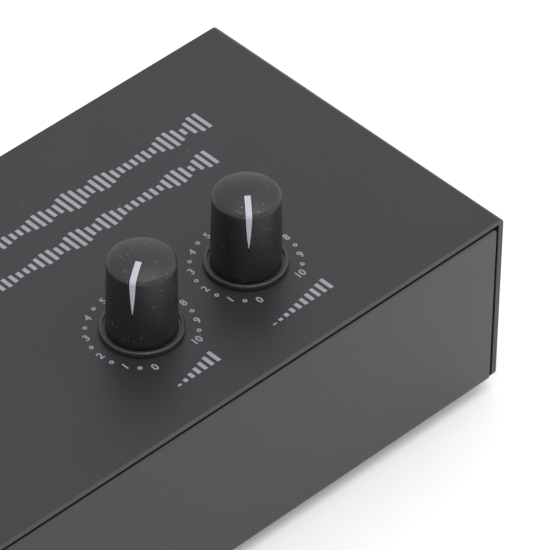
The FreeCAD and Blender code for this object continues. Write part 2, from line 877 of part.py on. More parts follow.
def switch_housing():
    """Box with a bezel outside the panel, a cavity for the rocker and two axle holes."""
    centre = switch_centre()
    half = switch_half_width
    levels = (board_top, board_top + 2 * switch_half_height)
    body = box((switch_x - half, switch_x + half), (rear_inside - switch_depth, rear_y), levels)
    wide = half + bezel_overlap
    tall = switch_half_height + bezel_overlap
    face = rear_y + bezel_thickness
    corners = [V(switch_x - wide, rear_y, centre.z - tall), V(switch_x + wide, rear_y, centre.z - tall),
               V(switch_x + wide, rear_y, centre.z + tall), V(switch_x - wide, rear_y, centre.z + tall)]
    body = body.fuse(slab(corners, [bezel_overlap] * 4, Y * bezel_thickness))
    cavity_x = half - switch_wall
    cavity_z = switch_half_height - switch_end_wall
    body = body.cut(box((switch_x - cavity_x, switch_x + cavity_x), (rear_inside - switch_cavity, face),
                        (centre.z - cavity_z, centre.z + cavity_z)))
    reach = cavity_x + rocker_axle_depth
    hole = rod(rocker_axle_radius + fit, centre - X * reach, centre + X * reach)
    return body.cut(hole)


def switch_rocker():
    """Rocker with a dished face, resting with its lower end pressed in."""
    centre = switch_centre()
    side = [(rocker_dip, 0, 4.0), (rocker_face, rocker_half_height, 0.6),
            (rocker_face - 1.6, rocker_half_height + 0.2, 0.4), (0, rocker_waist, 0.8),
            (-rocker_back, rocker_back_half, 0.5)]
    mirrored = [(depth, -height, radius) for depth, height, radius in reversed(side[1:])]
    outline = side + mirrored
    corners = [V(-rocker_half_width, depth, height) for depth, height, radius in outline]
    rocker = slab(corners, [radius for depth, height, radius in outline], X * (2 * rocker_half_width))
    reach = switch_half_width - switch_wall + rocker_axle_depth - slip
    rocker = rocker.fuse(rod(rocker_axle_radius, X * -reach, X * reach))
    rocker.rotate(V(0, 0, 0), X, -rocker_tilt)
    return rocker.translated(centre)


def switch_bridge():
    """Contact plate under the rocker."""
    plate = box((-bridge_half_width, bridge_half_width), (-rocker_back - bridge_thickness, -rocker_back),
                (-bridge_half_height, bridge_half_height))
    plate.rotate(V(0, 0, 0), X, -rocker_tilt)
    return plate.translated(switch_centre())


def switch_terminals():
    """Two fixed contacts on the back wall of the cavity."""
    centre = switch_centre()
    back = rear_inside - switch_cavity
    front = centre.y - rocker_back - bridge_thickness - terminal_clearance
    half = terminal_width / 2
    blades = []
    for step in (-1, 1):
        middle = centre.z + step * terminal_offset
        levels = (middle - terminal_thickness / 2, middle + terminal_thickness / 2)
        blades.append(box((switch_x - half, switch_x + half), (back, front), levels))
    return group(blades)


def ground_axis(y):
    """Point on the ground post's axis."""
    return V(ground_x, y, board_top + ground_axis_height)


def ground_bracket():
    """Tinned angle that stands on the board behind the rear panel."""
    start = V(ground_x - bracket_half_width, rear_inside, board_top)
    rise = Z * bracket_height
    foot = Y * -bracket_foot
    corners = [start, start + rise, start + rise - Y * bracket_thickness,
               start - Y * bracket_thickness + Z * bracket_thickness, start + foot + Z * bracket_thickness,
               start + foot]
    angle = slab(corners, [bracket_thickness, 0, 0, 0, 0, 0], X * (2 * bracket_half_width))
    return angle.cut(rod(stud_radius + slip, ground_axis(rear_inside - bracket_thickness), ground_axis(rear_inside)))


def ground_stud():
    """Screw held by the bracket, its end standing out behind the object."""
    seat = rear_inside - bracket_thickness
    length = rear_y + rear_reach - seat
    stud = lathe([(0, -stud_head_height), (stud_head_radius, -stud_head_height), (stud_head_radius, 0),
                  (stud_radius, 0), (stud_radius, length - thumb_chamfer), (stud_radius - thumb_chamfer, length),
                  (0, length)])
    return placed(stud, ground_axis(seat), Y)


def ground_lock_nut():
    """Thin nut that clamps the stud to the panel."""
    nut = hexagon(lock_nut_across, ground_axis(rear_y), Y * lock_nut)
    return nut.cut(rod(stud_radius + thumb_fit, ground_axis(rear_y), ground_axis(rear_y + lock_nut)))


def ground_washer_ring():
    """Washer that travels with the thumb nut."""
    low = rear_y + lock_nut
    return tube(ground_washer_radius, stud_radius + thumb_fit, ground_axis(low), ground_axis(low + ground_washer))


def ground_thumb_nut():
    """Fluted nut with a collar towards the washer."""
    bore = stud_radius + thumb_fit
    nut = lathe([(bore, 0), (thumb_collar_radius, 0), (thumb_collar_radius, thumb_collar),
                 (thumb_radius - thumb_chamfer, thumb_collar), (thumb_radius, thumb_collar + thumb_chamfer),
                 (thumb_radius, thumb_length - thumb_chamfer), (thumb_radius - thumb_chamfer, thumb_length),
                 (bore, thumb_length)])
    for step in range(flute_count):
        angle = 2 * math.pi * step / flute_count
        at = V(thumb_radius * math.cos(angle), thumb_radius * math.sin(angle), thumb_collar - gap)
        nut = nut.cut(rod(flute_radius, at, at + Z * thumb_length))
    return placed(nut, ground_axis(rear_y + lock_nut + ground_washer), Y)


def radial_capacitor(x, y, radius, height):
    """Round can on the board, with a rounded top and the groove near its foot."""
    waist = radius - capacitor_groove
    step = capacitor_groove * 2
    can = lathe([(0, 0), (radius, 0), (radius, step), (waist, 2 * step), (radius, 3 * step), (radius, height),
                 (0, height)], [0, 0, 0, 0, 0, capacitor_edge, 0])
    return can.translated(V(x, y, board_top))


def electrolytic_capacitors():
    """Rows of small cans behind the left front post, counted from the film capacitors."""
    cans = []
    first = film_x - film_length / 2 - capacitor_film_gap - capacitor_radius
    for column in range(capacitor_columns):
        for row in range(capacitor_rows):
            x = first - column * capacitor_pitch
            y = front_y + post_inset_front + capacitor_behind_post + row * capacitor_pitch
            cans.append(radial_capacitor(x, y, capacitor_radius, capacitor_height))
    return group(cans)


def filter_capacitor():
    """Larger can behind the power inlet."""
    return radial_capacitor(dc_x, rear_inside - dc_depth - filter_behind, filter_radius, filter_height)


def film_capacitors():
    """Box capacitors between the small cans and the level dial."""
    blocks = []
    for row in range(film_count):
        y = board_front + component_margin + row * film_pitch
        blocks.append(box((film_x - film_length / 2, film_x + film_length / 2),
                          (y - film_width / 2, y + film_width / 2), (board_top, board_top + film_height)))
    return group(blocks)


def op_amp(x, y):
    """Dual in-line chip on its two rows of leads."""
    low = board_top + chip_lift
    half = chip_width / 2
    corners = [V(x - chip_length / 2, y - half, low), V(x - chip_length / 2, y + half, low),
               V(x - chip_length / 2, y + half - chip_lift, low + chip_height),
               V(x - chip_length / 2, y - half + chip_lift, low + chip_height)]
    chip = slab(corners, [0] * 4, X * chip_length)
    first = x - chip_lead_pitch * (chip_leads - 1) / 2
    for step in range(chip_leads):
        lead_x = first + step * chip_lead_pitch
        for side in (-1, 1):
            reach = sorted((y + side * (half - chip_lift), y + side * (half + chip_lift)))
            leg = sorted((y + side * half, y + side * (half + chip_lift)))
            across = (lead_x - lead_radius, lead_x + lead_radius)
            chip = chip.fuse(box(across, reach, (low, low + chip_lift)))
            chip = chip.fuse(box(across, leg, (board_top, low + chip_lift)))
    return chip


def op_amps():
    """Two chips behind the dials' row."""
    y = dial_y + chips_behind_dials
    return group([op_amp(chip_from_left - case_width / 2 + step * chip_spacing, y) for step in (0, 1)])


def resistor(x, y):
    """Axial resistor lying along X on two bent leads."""
    height = board_top + resistor_radius + resistor_lift
    half = resistor_length / 2
    end = resistor_span / 2
    body = rod(resistor_radius, V(x - half, y, height), V(x + half, y, height))
    reach = end + lead_radius
    body = body.fuse(rod(lead_radius, V(x - reach, y, height), V(x + reach, y, height)))
    for side in (-1, 1):
        foot = V(x + side * end, y, board_top)
        body = body.fuse(rod(lead_radius * 0.8, foot, V(foot.x, y, height)))
    return body


def resistors():
    """Row of resistors to the right of the volume dial."""
    rows = [board_front + component_margin + step * resistor_pitch for step in range(resistor_count)]
    return group([resistor(volume_x + resistor_from_volume, y) for y in rows])


def voltage_regulator():
    """Tab package standing on three legs behind the switch."""
    y = rear_inside - switch_depth - regulator_behind
    half = regulator_width / 2
    low = board_top + regulator_leg
    high = low + regulator_body
    package = box((switch_x - half, switch_x + half), (y - regulator_thickness / 2, y + regulator_thickness / 2),
                  (low, high))
    back = y + regulator_thickness / 2
    tab = box((switch_x - half, switch_x + half), (back - regulator_tab_thickness, back),
              (high, high + regulator_tab))
    hole_z = high + regulator_tab / 2
    tab = tab.cut(rod(regulator_tab / 4, V(switch_x, back - regulator_thickness, hole_z), V(switch_x, back + gap, hole_z)))
    package = package.fuse(tab)
    for step in (-1, 0, 1):
        x = switch_x + step * chip_lead_pitch
        package = package.fuse(box((x - lead_radius, x + lead_radius), (y - lead_radius, y + lead_radius),
                                   (board_top, low)))
    return package.removeSplitter()


def all_parts():
    """Every node by name."""
    parts = {"top_cover": top_cover(), "base_tray": base_tray(), "cover_screws": cover_screws(),
             "rubber_feet": rubber_feet(), "board_standoffs": board_standoffs(), "board_screws": board_screws(),
             "circuit_board": circuit_board()}
    parts.update(dial_parts("level", level_x, level_angle))
    parts.update(dial_parts("volume", volume_x, volume_angle))
    parts.update(jack_parts("input_jack", input_x))
    parts.update(jack_parts("output_jack", output_x))
    parts.update({"phone_jack_body": phone_jack_body(), "phone_jack_bushing": phone_jack_bushing(),
                  "phone_jack_washer": phone_jack_washer(), "phone_jack_nut": phone_jack_nut(),
                  "phone_jack_contacts": phone_jack_contacts()})
    parts.update({"dc_inlet_body": dc_inlet_body(), "dc_inlet_pin": dc_inlet_pin(), "dc_inlet_leaf": dc_leaf_box(0)})
    parts.update({"switch_housing": switch_housing(), "switch_rocker": switch_rocker(),
                  "switch_bridge": switch_bridge(), "switch_terminals": switch_terminals()})
    parts.update({"ground_bracket": ground_bracket(), "ground_stud": ground_stud(),
                  "ground_lock_nut": ground_lock_nut(), "ground_washer": ground_washer_ring(),
                  "ground_thumb_nut": ground_thumb_nut()})
    parts.update({"electrolytic_capacitors": electrolytic_capacitors(), "filter_capacitor": filter_capacitor(),
                  "film_capacitors": film_capacitors(), "op_amps": op_amps(), "resistors": resistors(),
                  "voltage_regulator": voltage_regulator()})
    return parts


os.makedirs("parts", exist_ok=True)
for node, shape in all_parts().items():
    shape.exportStep("parts/" + node + ".step")
    print(node, len(shape.Solids), "solids", round(shape.Volume, 1), "mm3", "valid" if shape.isValid() else "NOT VALID")
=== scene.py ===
# %% [markdown]
# # A phono preamp, from its frame to its finish
# The real object is a small bent sheet-metal box with two rubber knobs on its top face. Its pieces come
# from the frame at their real size and place, and each one rides on the body that moves it. This lesson
# gives them their finish, adds what is too fine for the frame, such as print and threads, and lights them.
# A piece could also be modelled here from nothing, but then it might not meet its neighbours.

# %% Load the frame
import json
import math
import bmesh
import bpy
from mathutils import Matrix, Vector


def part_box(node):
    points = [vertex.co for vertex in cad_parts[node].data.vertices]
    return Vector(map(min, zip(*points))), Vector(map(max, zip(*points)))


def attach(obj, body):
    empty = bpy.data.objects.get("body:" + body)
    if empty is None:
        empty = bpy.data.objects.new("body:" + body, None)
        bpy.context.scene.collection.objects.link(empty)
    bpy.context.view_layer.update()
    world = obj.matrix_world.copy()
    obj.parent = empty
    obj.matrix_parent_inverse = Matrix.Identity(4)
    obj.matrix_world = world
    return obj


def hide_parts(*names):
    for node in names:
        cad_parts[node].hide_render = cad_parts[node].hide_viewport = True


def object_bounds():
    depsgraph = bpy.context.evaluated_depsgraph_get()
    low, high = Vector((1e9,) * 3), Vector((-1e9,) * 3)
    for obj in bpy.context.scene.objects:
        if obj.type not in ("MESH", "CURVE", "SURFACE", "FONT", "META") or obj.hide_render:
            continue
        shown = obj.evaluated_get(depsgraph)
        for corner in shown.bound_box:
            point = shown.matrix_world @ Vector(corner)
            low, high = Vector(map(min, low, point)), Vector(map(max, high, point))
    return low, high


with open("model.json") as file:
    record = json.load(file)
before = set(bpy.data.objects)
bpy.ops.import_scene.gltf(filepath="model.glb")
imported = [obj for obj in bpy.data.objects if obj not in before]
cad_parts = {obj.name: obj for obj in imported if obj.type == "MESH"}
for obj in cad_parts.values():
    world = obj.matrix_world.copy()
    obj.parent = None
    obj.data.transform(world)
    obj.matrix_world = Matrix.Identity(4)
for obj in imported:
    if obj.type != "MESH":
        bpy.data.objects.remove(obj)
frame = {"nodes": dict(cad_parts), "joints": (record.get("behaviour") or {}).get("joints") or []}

cad_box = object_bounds()
nodes = frame["nodes"]
MM = 0.001
print("pieces in the frame:", len(nodes))

# %% [markdown]
# ## Places that the lesson needs
# The two dials and the top face are read from the frame, so the print follows them if a size changes
# there. A joint knows its own axis, and a node's box gives its faces. Typed places would stay behind.

# %% Read places from the frame
joints = {joint["name"]: joint for joint in frame["joints"]}
top_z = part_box("top_cover")[1].z
level, volume = [Vector(joints[name]["pos_m"]) for name in ("level_turn", "volume_turn")]
for dial in (level, volume):
    dial.z = top_z
    print("dial at", tuple(round(place / MM, 2) for place in dial))

# %% [markdown]
# ## Camera
# The photograph was taken with a long lens from the front left, well above the box, and shows only part
# of it. The direction and distance come from fitting a camera to the case's edges and the dial circles.
# A long lens far away keeps the box's edges nearly parallel, which a short lens close by would not.

# %% Set the camera
CAMERA_AZIMUTH = math.radians(-44.70)
CAMERA_ELEVATION = math.radians(42.05)
CAMERA_ROLL = math.radians(-0.88)
CAMERA_FROM_LEVEL = Vector((-498.4, -536.6, 673.5)) * MM
FOCAL_PIXELS = 5673.5
PHOTO_PIXELS = 550
SENSOR = 36.0
FAR_CLIP = 20.0


def make_camera():
    """Camera at the photograph's place, aimed by azimuth, elevation and roll."""
    flat = math.cos(CAMERA_ELEVATION)
    ahead = Vector((math.sin(CAMERA_AZIMUTH), -math.cos(CAMERA_AZIMUTH), 0)) * flat
    back = ahead + Vector((0, 0, math.sin(CAMERA_ELEVATION)))
    right = Vector((0, 0, 1)).cross(back).normalized()
    up = back.cross(right)
    turned_right = right * math.cos(CAMERA_ROLL) - up * math.sin(CAMERA_ROLL)
    turned_up = up * math.cos(CAMERA_ROLL) + right * math.sin(CAMERA_ROLL)
    data = bpy.data.cameras.new("photo_camera")
    data.sensor_width = SENSOR
    data.lens = FOCAL_PIXELS / PHOTO_PIXELS * SENSOR
    data.clip_end = FAR_CLIP
    camera = bpy.data.objects.new("photo_camera", data)
    bpy.context.scene.collection.objects.link(camera)
    place = Matrix((turned_right, turned_up, back)).transposed().to_4x4()
    place.translation = level + CAMERA_FROM_LEVEL
    camera.matrix_world = place
    bpy.context.scene.camera = camera
    return camera


camera = make_camera()
print("camera at", tuple(round(place, 3) for place in camera.matrix_world.translation))
print("lens", round(camera.data.lens, 1), "mm")

# %% [markdown]
# ## A way to write shader maths
# A material's maths is easier to read as an expression than as a list of links. The small class below
# wraps an output socket, and each operator adds one Math node. Every other node comes from one method.
# A Mix node has sockets of the same name for numbers and for colours, so its colour sockets go by number.

# %% Shader expressions
MIX_FACTOR = 0
MIX_FIRST = 6
MIX_SECOND = 7
MIX_COLOR = 2


class Wire:
    """Output socket of a material's node that can stand in a sum."""

    def __init__(self, paint, socket):
        self.paint = paint
        self.socket = socket

    def maths(self, operation, *values):
        return self.paint.node("ShaderNodeMath", {"operation": operation}, dict(enumerate(values)))

    def __add__(self, other):
        return self.maths("ADD", self, other)

    def __sub__(self, other):
        return self.maths("SUBTRACT", self, other)

    def __rsub__(self, other):
        return self.maths("SUBTRACT", other, self)

    def __mul__(self, other):
        return self.maths("MULTIPLY", self, other)

    __radd__ = __add__
    __rmul__ = __mul__

    def below(self, limit):
        return self.maths("LESS_THAN", self, limit)


class Paint:
    """Material with one Principled shader, filled through named sockets."""

    def __init__(self, name):
        self.material = bpy.data.materials.new(name)
        self.material.use_nodes = True
        self.tree = self.material.node_tree
        self.shader = self.tree.nodes["Principled BSDF"]
        self.place = self.node("ShaderNodeTexCoord", output="Object")

    def node(self, kind, settings=None, sockets=None, output=0):
        """Any node: its settings are set first, then the values or links of its sockets."""
        made = self.tree.nodes.new(kind)
        for name, value in (settings or {}).items():
            setattr(made, name, value)
        for name, value in (sockets or {}).items():
            self.feed(made.inputs[name], value)
        return Wire(self, made.outputs[output])

    def feed(self, socket, value):
        """Link a socket to a wire, or set it to a plain value."""
        if isinstance(value, Wire):
            self.tree.links.new(value.socket, socket)
        else:
            socket.default_value = value

    def surface(self, **values):
        """Feed the shader's sockets, named with underscores for spaces."""
        for name, value in values.items():
            self.feed(self.shader.inputs[name.replace("_", " ")], value)

    def noise(self, size, detail=2.0):
        """Soft noise from 0 to 1 whose features are about that many millimetres wide."""
        return self.node("ShaderNodeTexNoise", None,
                         {"Vector": self.place, "Scale": 1 / (size * MM), "Detail": detail})

    def specks(self, spacing, radius, share):
        """1 inside rare round specks: cells of the spacing, of which only a share holds a speck."""
        cell = {"Vector": self.place, "Scale": 1 / (spacing * MM)}
        distance = self.node("ShaderNodeTexVoronoi", None, cell, output="Distance")
        color = self.node("ShaderNodeTexVoronoi", None, cell, output="Color")
        chance = self.node("ShaderNodeSeparateColor", None, {"Color": color}, output="Red")
        return distance.below(radius / spacing) * chance.below(share)

    def blend(self, factor, first, second):
        """Colour between two others."""
        return self.node("ShaderNodeMix", {"data_type": "RGBA"},
                         {MIX_FACTOR: factor, MIX_FIRST: first, MIX_SECOND: second}, output=MIX_COLOR)

    def bump(self, height, strength, depth):
        """Normal raised by a height, at most so many millimetres."""
        return self.node("ShaderNodeBump", None,
                         {"Height": height, "Strength": strength, "Distance": depth * MM}, output="Normal")


print("shader helpers ready")

# %% [markdown]
# ## One recipe for the finishes
# One recipe covers most of the pieces: a base colour that drifts a little over the surface, a roughness
# that drifts with it, a fine grain in the normal, and a few specks of dust in two sizes. Sizes are in
# millimetres of the real surface. A recipe of its own for each material would say the same many times.

# %% One recipe for most finishes
FINE_DETAIL = 3.0
WIDE_SHARE = 0.6
FINE_SHARE = 0.4
MIDDLE = 0.5
ROUGH_DRIFT = 0.16
ROUGH_GRAIN = 0.12
DUST_RADIUS = 0.09
SMALL_DUST_RADIUS = 0.05
SMALL_DUST_GAP = 0.55
DUST_COVER = 0.75


def rgb(red, green, blue):
    """Opaque colour."""
    return (red, green, blue, 1.0)


DUST_GREY = rgb(0.34, 0.34, 0.35)


def finish(name, base, rough, metallic=0.0, drift=0.12, patch=9.0, grain=0.5, depth=0.01, strength=0.5,
           dust=0.0, dust_gap=1.0, gloss=0.5):
    """Material with drifting colour and roughness, a fine grain and rare dust."""
    paint = Paint(name)
    wide = paint.noise(patch)
    fine = paint.noise(grain, FINE_DETAIL)
    dark = rgb(*[channel * (1 - drift) for channel in base])
    light = rgb(*[min(1.0, channel * (1 + drift)) for channel in base])
    color = paint.blend(wide * WIDE_SHARE + fine * FINE_SHARE, dark, light)
    if dust:
        specks = paint.specks(dust_gap, DUST_RADIUS, dust)
        small_specks = paint.specks(dust_gap * SMALL_DUST_GAP, SMALL_DUST_RADIUS, dust)
        color = paint.blend((specks + small_specks) * DUST_COVER, color, DUST_GREY)
    drifting = (wide - MIDDLE) * (rough * ROUGH_DRIFT)
    grainy = (fine - MIDDLE) * (rough * ROUGH_GRAIN)
    paint.surface(Base_Color=color, Roughness=drifting + grainy + rough, Metallic=metallic,
                  Specular_IOR_Level=gloss, Normal=paint.bump(fine, strength, depth))
    return paint.material


print("recipe ready")

# %% [markdown]
# ## The finishes
# The recipe's numbers make it powder coat, soft rubber, moulded plastic, plate or lacquer. What the
# photograph shows closest, the coat and the rubber, has the most: its own grain, its own depth and dust.

# %% Materials that show in the photograph
powder_coat = finish("powder_coat", (0.0220, 0.0185, 0.0215), 0.40, grain=0.35, depth=0.006, strength=0.35,
                     dust=0.12, dust_gap=2.4)
soft_rubber = finish("soft_rubber", (0.0085, 0.0078, 0.0086), 0.44, grain=0.22, depth=0.012, strength=0.6,
                     dust=0.36, dust_gap=0.9, gloss=0.65)
core_plastic = finish("core_plastic", (0.020, 0.0185, 0.020), 0.36, grain=0.3, depth=0.004, dust=0.15,
                      gloss=0.65)
pointer_white = finish("pointer_white", (0.46, 0.48, 0.53), 0.42, drift=0.08, patch=1.6, grain=0.3)
print("finishes:", len(bpy.data.materials))

# %% [markdown]
# ## The other finishes
# The back, the underside and the inside show when the camera goes round or the cover comes off. Their
# plastics, metals and lacquers get the same recipe, with the colours that such parts have.

# %% Materials of the other pieces
dark_screw = finish("dark_screw", (0.03, 0.03, 0.032), 0.38, metallic=0.6, grain=0.3)
foot_rubber = finish("foot_rubber", (0.025, 0.025, 0.025), 0.75, grain=0.4, depth=0.02, dust=0.2)
black_plastic = finish("black_plastic", (0.018, 0.018, 0.019), 0.5, grain=0.4, depth=0.012)
rocker_plastic = finish("rocker_plastic", (0.016, 0.016, 0.017), 0.28, grain=0.5, depth=0.004)
nickel = finish("nickel", (0.50, 0.485, 0.455), 0.22, metallic=1.0, drift=0.05, grain=0.25, depth=0.002)
red_plastic = finish("red_plastic", (0.52, 0.015, 0.012), 0.3, grain=0.6, depth=0.004)
white_plastic = finish("white_plastic", (0.60, 0.60, 0.57), 0.32, drift=0.04, grain=0.6, depth=0.004)
tin = finish("tin", (0.48, 0.48, 0.465), 0.34, metallic=1.0, drift=0.1, patch=4.0, grain=0.4, depth=0.004)
gold_brass = finish("gold_brass", (0.66, 0.44, 0.15), 0.26, metallic=1.0, drift=0.08, grain=0.3,
                    depth=0.003)
zinc = finish("zinc", (0.60, 0.60, 0.56), 0.4, metallic=1.0, patch=3.0)
turned_metal = finish("turned_metal", (0.68, 0.68, 0.69), 0.3, metallic=1.0, grain=0.2)
solder_mask = finish("solder_mask", (0.012, 0.13, 0.045), 0.35, drift=0.3, patch=5.0)
phenolic = finish("phenolic", (0.20, 0.09, 0.035), 0.55, drift=0.2, patch=2.0)
natural_plastic = finish("natural_plastic", (0.55, 0.5, 0.4), 0.5)
sleeve = finish("sleeve", (0.012, 0.018, 0.06), 0.3, patch=3.0)
film_box = finish("film_box", (0.35, 0.03, 0.015), 0.45)
resistor_lacquer = finish("resistor_lacquer", (0.10, 0.28, 0.42), 0.35, patch=2.0, drift=0.25)
print("finishes:", len(bpy.data.materials))

# %% [markdown]
# ## The print
# Screen print lies on the powder coat as a thin, slightly uneven film. It is a pale grey with a touch of
# violet. The ink lets some of the dark coat through, so its colour wanders a little.

# %% Ink
INK_PALE = rgb(0.36, 0.36, 0.42)
INK_DARK = rgb(0.20, 0.20, 0.24)
INK_GRAIN = 0.35
INK_PATCH = 3.0
INK_GRAIN_SHARE = 0.55
INK_PATCH_SHARE = 0.25
INK_ROUGH = 0.45
INK_ROUGH_GRAIN = 0.15
INK_BUMP = 0.3
INK_DEPTH = 0.004


def make_ink():
    """Pale screen-printed ink, thinner in places."""
    paint = Paint("ink")
    thin = paint.noise(INK_GRAIN, FINE_DETAIL)
    wide = paint.noise(INK_PATCH)
    color = paint.blend(thin * INK_GRAIN_SHARE + wide * INK_PATCH_SHARE, INK_PALE, INK_DARK)
    paint.surface(Base_Color=color, Roughness=thin * INK_ROUGH_GRAIN + INK_ROUGH,
                  Normal=paint.bump(thin, INK_BUMP, INK_DEPTH))
    return paint.material


ink = make_ink()
print("ink ready")

# %% [markdown]
# ## Finish the frame's pieces
# A node of the frame keeps its mesh and gets a better material in its slots. The names say what the
# pieces are, so one list from finish to pieces covers them all.

# %% Dress the nodes
dress = {
    powder_coat: ["top_cover", "base_tray"],
    dark_screw: ["cover_screws"],
    foot_rubber: ["rubber_feet"],
    soft_rubber: ["level_knob_grip", "volume_knob_grip"],
    core_plastic: ["level_knob_core", "volume_knob_core"],
    pointer_white: ["level_knob_pointer", "volume_knob_pointer"],
    black_plastic: ["input_jack_housing", "output_jack_housing", "phone_jack_body", "dc_inlet_body",
                    "switch_housing", "op_amps", "voltage_regulator"],
    rocker_plastic: ["switch_rocker"],
    nickel: ["input_jack_shells", "output_jack_shells", "phone_jack_bushing", "phone_jack_washer",
             "phone_jack_nut", "phone_jack_contacts", "input_jack_contacts", "output_jack_contacts",
             "dc_inlet_pin", "dc_inlet_leaf", "switch_bridge"],
    red_plastic: ["input_jack_red_insulator", "output_jack_red_insulator"],
    white_plastic: ["input_jack_white_insulator", "output_jack_white_insulator"],
    tin: ["ground_bracket", "ground_stud", "ground_lock_nut", "ground_washer", "level_pot_can",
          "volume_pot_can"],
    gold_brass: ["ground_thumb_nut"],
    zinc: ["board_standoffs", "board_screws", "level_pot_bushing", "volume_pot_bushing", "level_pot_pins",
           "volume_pot_pins", "switch_terminals"],
    turned_metal: ["level_pot_shaft", "volume_pot_shaft"],
    solder_mask: ["circuit_board"],
    phenolic: ["level_pot_wafer", "volume_pot_wafer"],
    natural_plastic: ["level_pot_wiper", "volume_pot_wiper"],
    sleeve: ["electrolytic_capacitors", "filter_capacitor"],
    film_box: ["film_capacitors"],
    resistor_lacquer: ["resistors"],
}
for material, names in dress.items():
    for name in names:
        nodes[name].data.materials.clear()
        nodes[name].data.materials.append(material)
print("dressed:", sum(len(names) for names in dress.values()), "of", len(nodes))

# %% [markdown]
# ## New pieces
# A new piece ends as a plain closed mesh at the origin, with its faces pointing out, on its body and in
# its material slot. One helper does this for all of them, and another turns modifiers into plain mesh.

# %% Finish a new piece
MERGE_WITHIN = 1e-7


def settle(name, mesh, body, material=None):
    """Object from a mesh that already lies in place, closed and riding on its body."""
    work = bmesh.new()
    work.from_mesh(mesh)
    bmesh.ops.remove_doubles(work, verts=work.verts, dist=MERGE_WITHIN)
    bmesh.ops.recalc_face_normals(work, faces=work.faces)
    work.to_mesh(mesh)
    work.free()
    mesh.name = name
    if material:
        mesh.materials.clear()
        mesh.materials.append(material)
    piece = bpy.data.objects.new(name, mesh)
    bpy.context.scene.collection.objects.link(piece)
    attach(piece, body)
    print(name, "has", len(mesh.polygons), "faces")
    return piece


def evaluated_mesh(thing):
    """Plain mesh of an object with its modifiers applied."""
    bpy.context.view_layer.update()
    graph = bpy.context.evaluated_depsgraph_get()
    mesh = bpy.data.meshes.new_from_object(thing.evaluated_get(graph))
    bpy.data.objects.remove(thing)
    return mesh


print("piece helpers ready")

# %% [markdown]
# ## Soft edges on the sheet metal
# Powder coat rounds every cut edge of the sheet, and the light picks that out as a thin line. The frame's
# cover and tray have sharp edges there, so a copy of each with a small bevel takes its place. Triangles
# that lie in one plane are joined first, so that the bevel only finds real edges.

# %% Round the edges of the cover and the tray
COVER_EDGE = 0.35 * MM
TRAY_EDGE = 0.25 * MM
EDGE_SEGMENTS = 3
FLAT_WITHIN = math.radians(0.5)
SHARP_FROM = math.radians(50)


def soften(name, width):
    """Copy of a chassis node with bevelled edges, standing in for the node."""
    mesh = nodes[name].data.copy()
    work = bmesh.new()
    work.from_mesh(mesh)
    bmesh.ops.remove_doubles(work, verts=work.verts, dist=MERGE_WITHIN)
    bmesh.ops.dissolve_limit(work, angle_limit=FLAT_WITHIN, verts=work.verts, edges=work.edges)
    work.to_mesh(mesh)
    work.free()
    thing = bpy.data.objects.new(name + "_soft", mesh)
    bpy.context.scene.collection.objects.link(thing)
    bevel = thing.modifiers.new("bevel", "BEVEL")
    bevel.width = width
    bevel.segments = EDGE_SEGMENTS
    bevel.limit_method = "ANGLE"
    bevel.angle_limit = SHARP_FROM
    piece = settle(name + "_soft", evaluated_mesh(thing), "chassis", powder_coat)
    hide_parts(name)


soften("top_cover", COVER_EDGE)
soften("base_tray", TRAY_EDGE)

# %% [markdown]
# ## Dial numbers
# Each dial carries the plain numbers 0 to 10, upright, every 30 degrees from seven o'clock to five
# o'clock. A text object gives the digits. It is made a mesh first, and then moved to its place on the
# circle, so that the piece itself stays at the origin.

# %% Dial numbers
DIAL_RADIUS = 10.0 * MM
DIGIT_HEIGHT = 1.5 * MM
DIGIT_SHARE_OF_FONT = 0.69
STROKE_SWELL = 0.028
CURVE_STEPS = 4
FIRST_ANGLE = 30
STEP_ANGLE = 30
LAST_NUMBER = 10
INK_THICKNESS = 0.02 * MM


def around(centre, degrees):
    """Point on a dial, clockwise from the front as seen from above."""
    angle = math.radians(degrees)
    return centre + Vector((-math.sin(angle) * DIAL_RADIUS, -math.cos(angle) * DIAL_RADIUS, 0))


def digits(number, centre):
    """Mesh of an upright number centred on a point of the top face."""
    curve = bpy.data.curves.new("digits", "FONT")
    curve.body = str(number)
    curve.size = DIGIT_HEIGHT / DIGIT_SHARE_OF_FONT
    curve.offset = DIGIT_HEIGHT * STROKE_SWELL
    curve.align_x = "CENTER"
    curve.extrude = INK_THICKNESS / 2
    curve.resolution_u = CURVE_STEPS
    thing = bpy.data.objects.new("digits", curve)
    bpy.context.scene.collection.objects.link(thing)
    mesh = evaluated_mesh(thing)
    low = min(corner.co.y for corner in mesh.vertices)
    high = max(corner.co.y for corner in mesh.vertices)
    mesh.transform(Matrix.Translation(centre + Vector((0, -(low + high) / 2, INK_THICKNESS / 2))))
    return mesh


def join(meshes):
    """One mesh from several."""
    work = bmesh.new()
    for mesh in meshes:
        work.from_mesh(mesh)
    joined = bpy.data.meshes.new("joined")
    work.to_mesh(joined)
    work.free()
    return joined


for name, centre in (("level_dial_numbers", level), ("volume_dial_numbers", volume)):
    numbers = [digits(number, around(centre, FIRST_ANGLE + STEP_ANGLE * number))
               for number in range(LAST_NUMBER + 1)]
    settle(name, join(numbers), "chassis", ink)

# %% [markdown]
# ## Geometry Nodes, in script
# What repeats comes from a small tree of nodes: points set by a formula, one shape copied to each, then
# Realize Instances and Set Material, because a plain mesh is what the piece has to be in the end. The
# helper below holds a tree, gives it named inputs and turns its result into a mesh.

